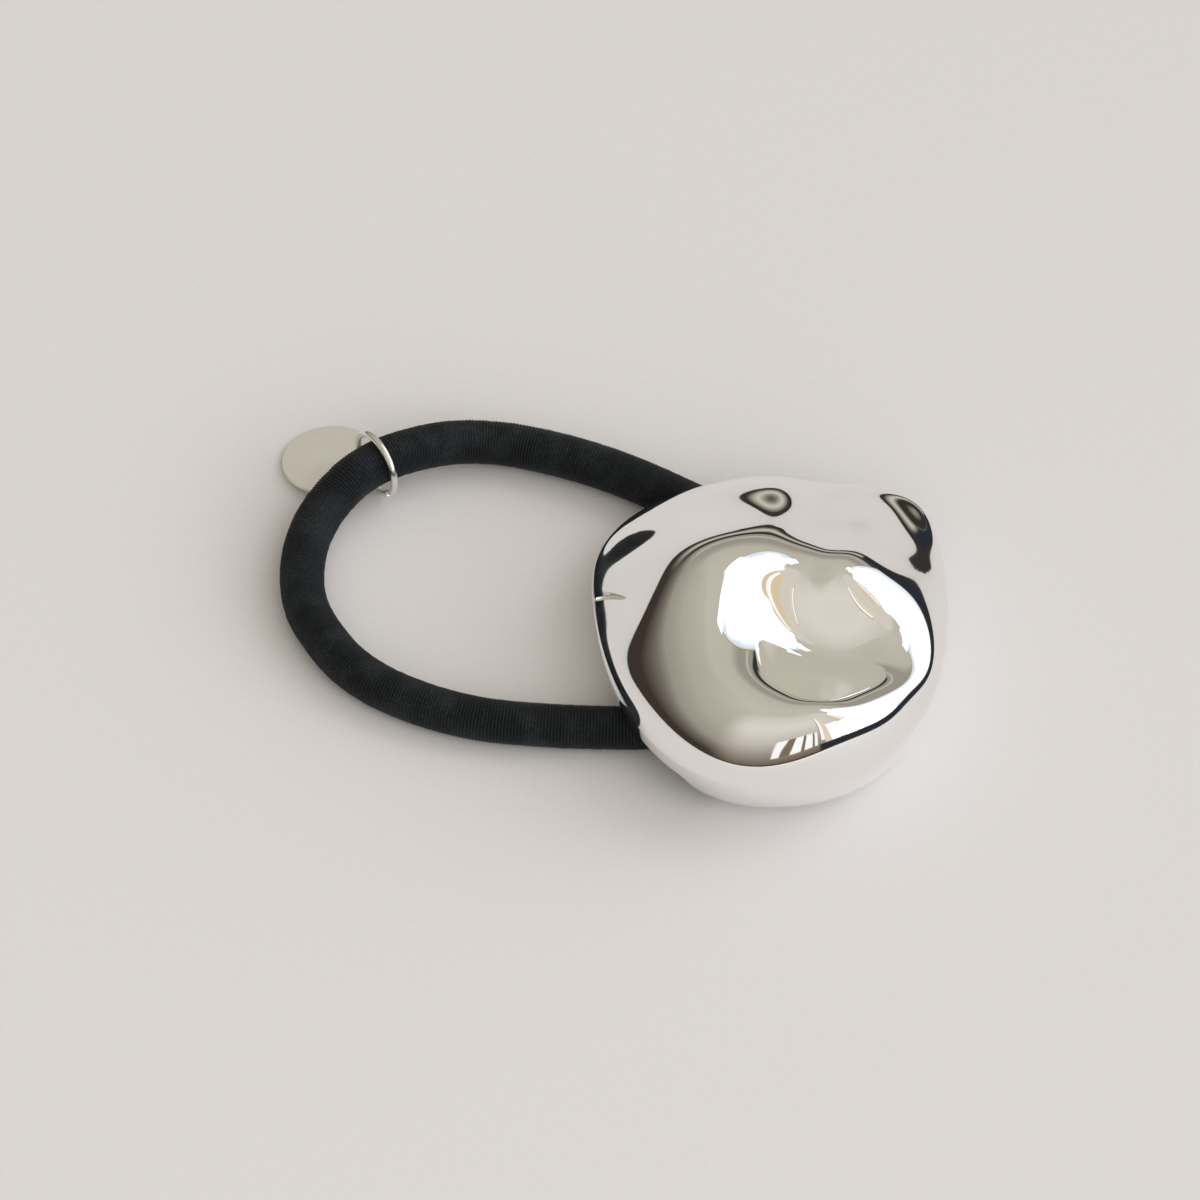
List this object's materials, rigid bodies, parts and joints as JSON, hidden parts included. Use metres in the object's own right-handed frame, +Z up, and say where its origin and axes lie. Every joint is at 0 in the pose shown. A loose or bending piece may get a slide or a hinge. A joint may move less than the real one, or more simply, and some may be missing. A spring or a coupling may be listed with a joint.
{
  "type": "metal cuff hair tie",
  "caption": "Pebble-shaped mirror-polished metal cuff on a black elastic loop, with a jump ring and a plain round tag, for tying hair.",
  "frame": {"origin": "middle of the cuff's footprint, on the surface that the hair tie lies on", "axes": "+Z up out of the domed face, +X away from the elastic loop, +Y to the back, where the loop leaves the cuff above the hollow"},
  "size_m": [0.0759, 0.0638, 0.0185],
  "materials": {
    "polished_metal": "mirror-polished, silver-coloured",
    "elastic_cord": "finely ribbed woven cover, black",
    "ring_wire": "polished wire, silver-coloured",
    "tag_metal": "satin, plain"
  },
  "bodies": {
    "root": {"cuff": "polished_metal", "elastic_band": "elastic_cord", "jump_ring": "ring_wire", "tag": "tag_metal"}
  },
  "joints": []
}
